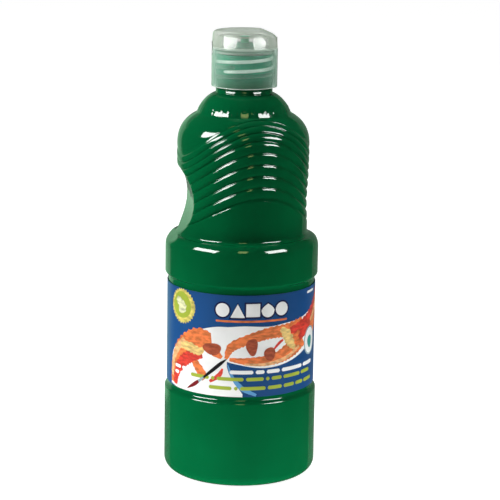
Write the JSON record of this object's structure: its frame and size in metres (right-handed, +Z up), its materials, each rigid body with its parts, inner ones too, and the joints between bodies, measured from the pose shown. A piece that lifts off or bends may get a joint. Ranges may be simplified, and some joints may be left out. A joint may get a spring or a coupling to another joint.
{
  "type": "squeeze paint bottle",
  "caption": "Round squeeze bottle of paint with grip scoops, arched finger ribs, a wrap label and a flip-top screw closure.",
  "frame": {"origin": "middle of the base, on the surface the bottle stands on", "axes": "+Z up along the bottle's axis; the top of the arched ribs and the label's front face -Y"},
  "size_m": [0.069, 0.069, 0.2009],
  "materials": {
    "bottle_pet": "clear blow-moulded PET, very glossy, green from the paint behind it",
    "paint": "opaque green tempera paint",
    "label_film": "printed plastic label film, satin gloss",
    "liner_foam": "white foamed polyethylene sealing washer",
    "cap_plastic": "natural translucent polypropylene, smooth"
  },
  "bodies": {
    "bottle": {"bottle": "bottle_pet", "paint_fill": "paint", "label": "label_film"},
    "liner": {"cap_liner": "liner_foam"},
    "cap": {"cap_base": "cap_plastic", "hinge_strap_front": "cap_plastic", "hinge_spring": "cap_plastic", "hinge_strap_rear": "cap_plastic"},
    "lid": {"cap_lid": "cap_plastic"}
  },
  "joints": [
    {"name": "cap_lift", "type": "slide", "parent": "bottle", "child": "liner", "axis": [0, 0, 1], "range_m": [0, 0.018]},
    {"name": "cap_turn", "type": "hinge", "parent": "liner", "child": "cap", "pos_m": [0, 0, 0.18], "axis": [0, 0, 1], "range_deg": [0, 1530]},
    {"name": "lid_flip", "type": "hinge", "parent": "cap", "child": "lid", "pos_m": [-0.01387, 0.00424, 0.19343], "axis": [-0.2924, -0.9563, 0], "range_deg": [0, 170], "deforming": ["hinge_strap_front", "hinge_spring", "hinge_strap_rear"]}
  ],
  "couplings": [
    {"joint": "cap_lift", "follows": "cap_turn", "m_per_rad": 0.00067375}
  ]
}
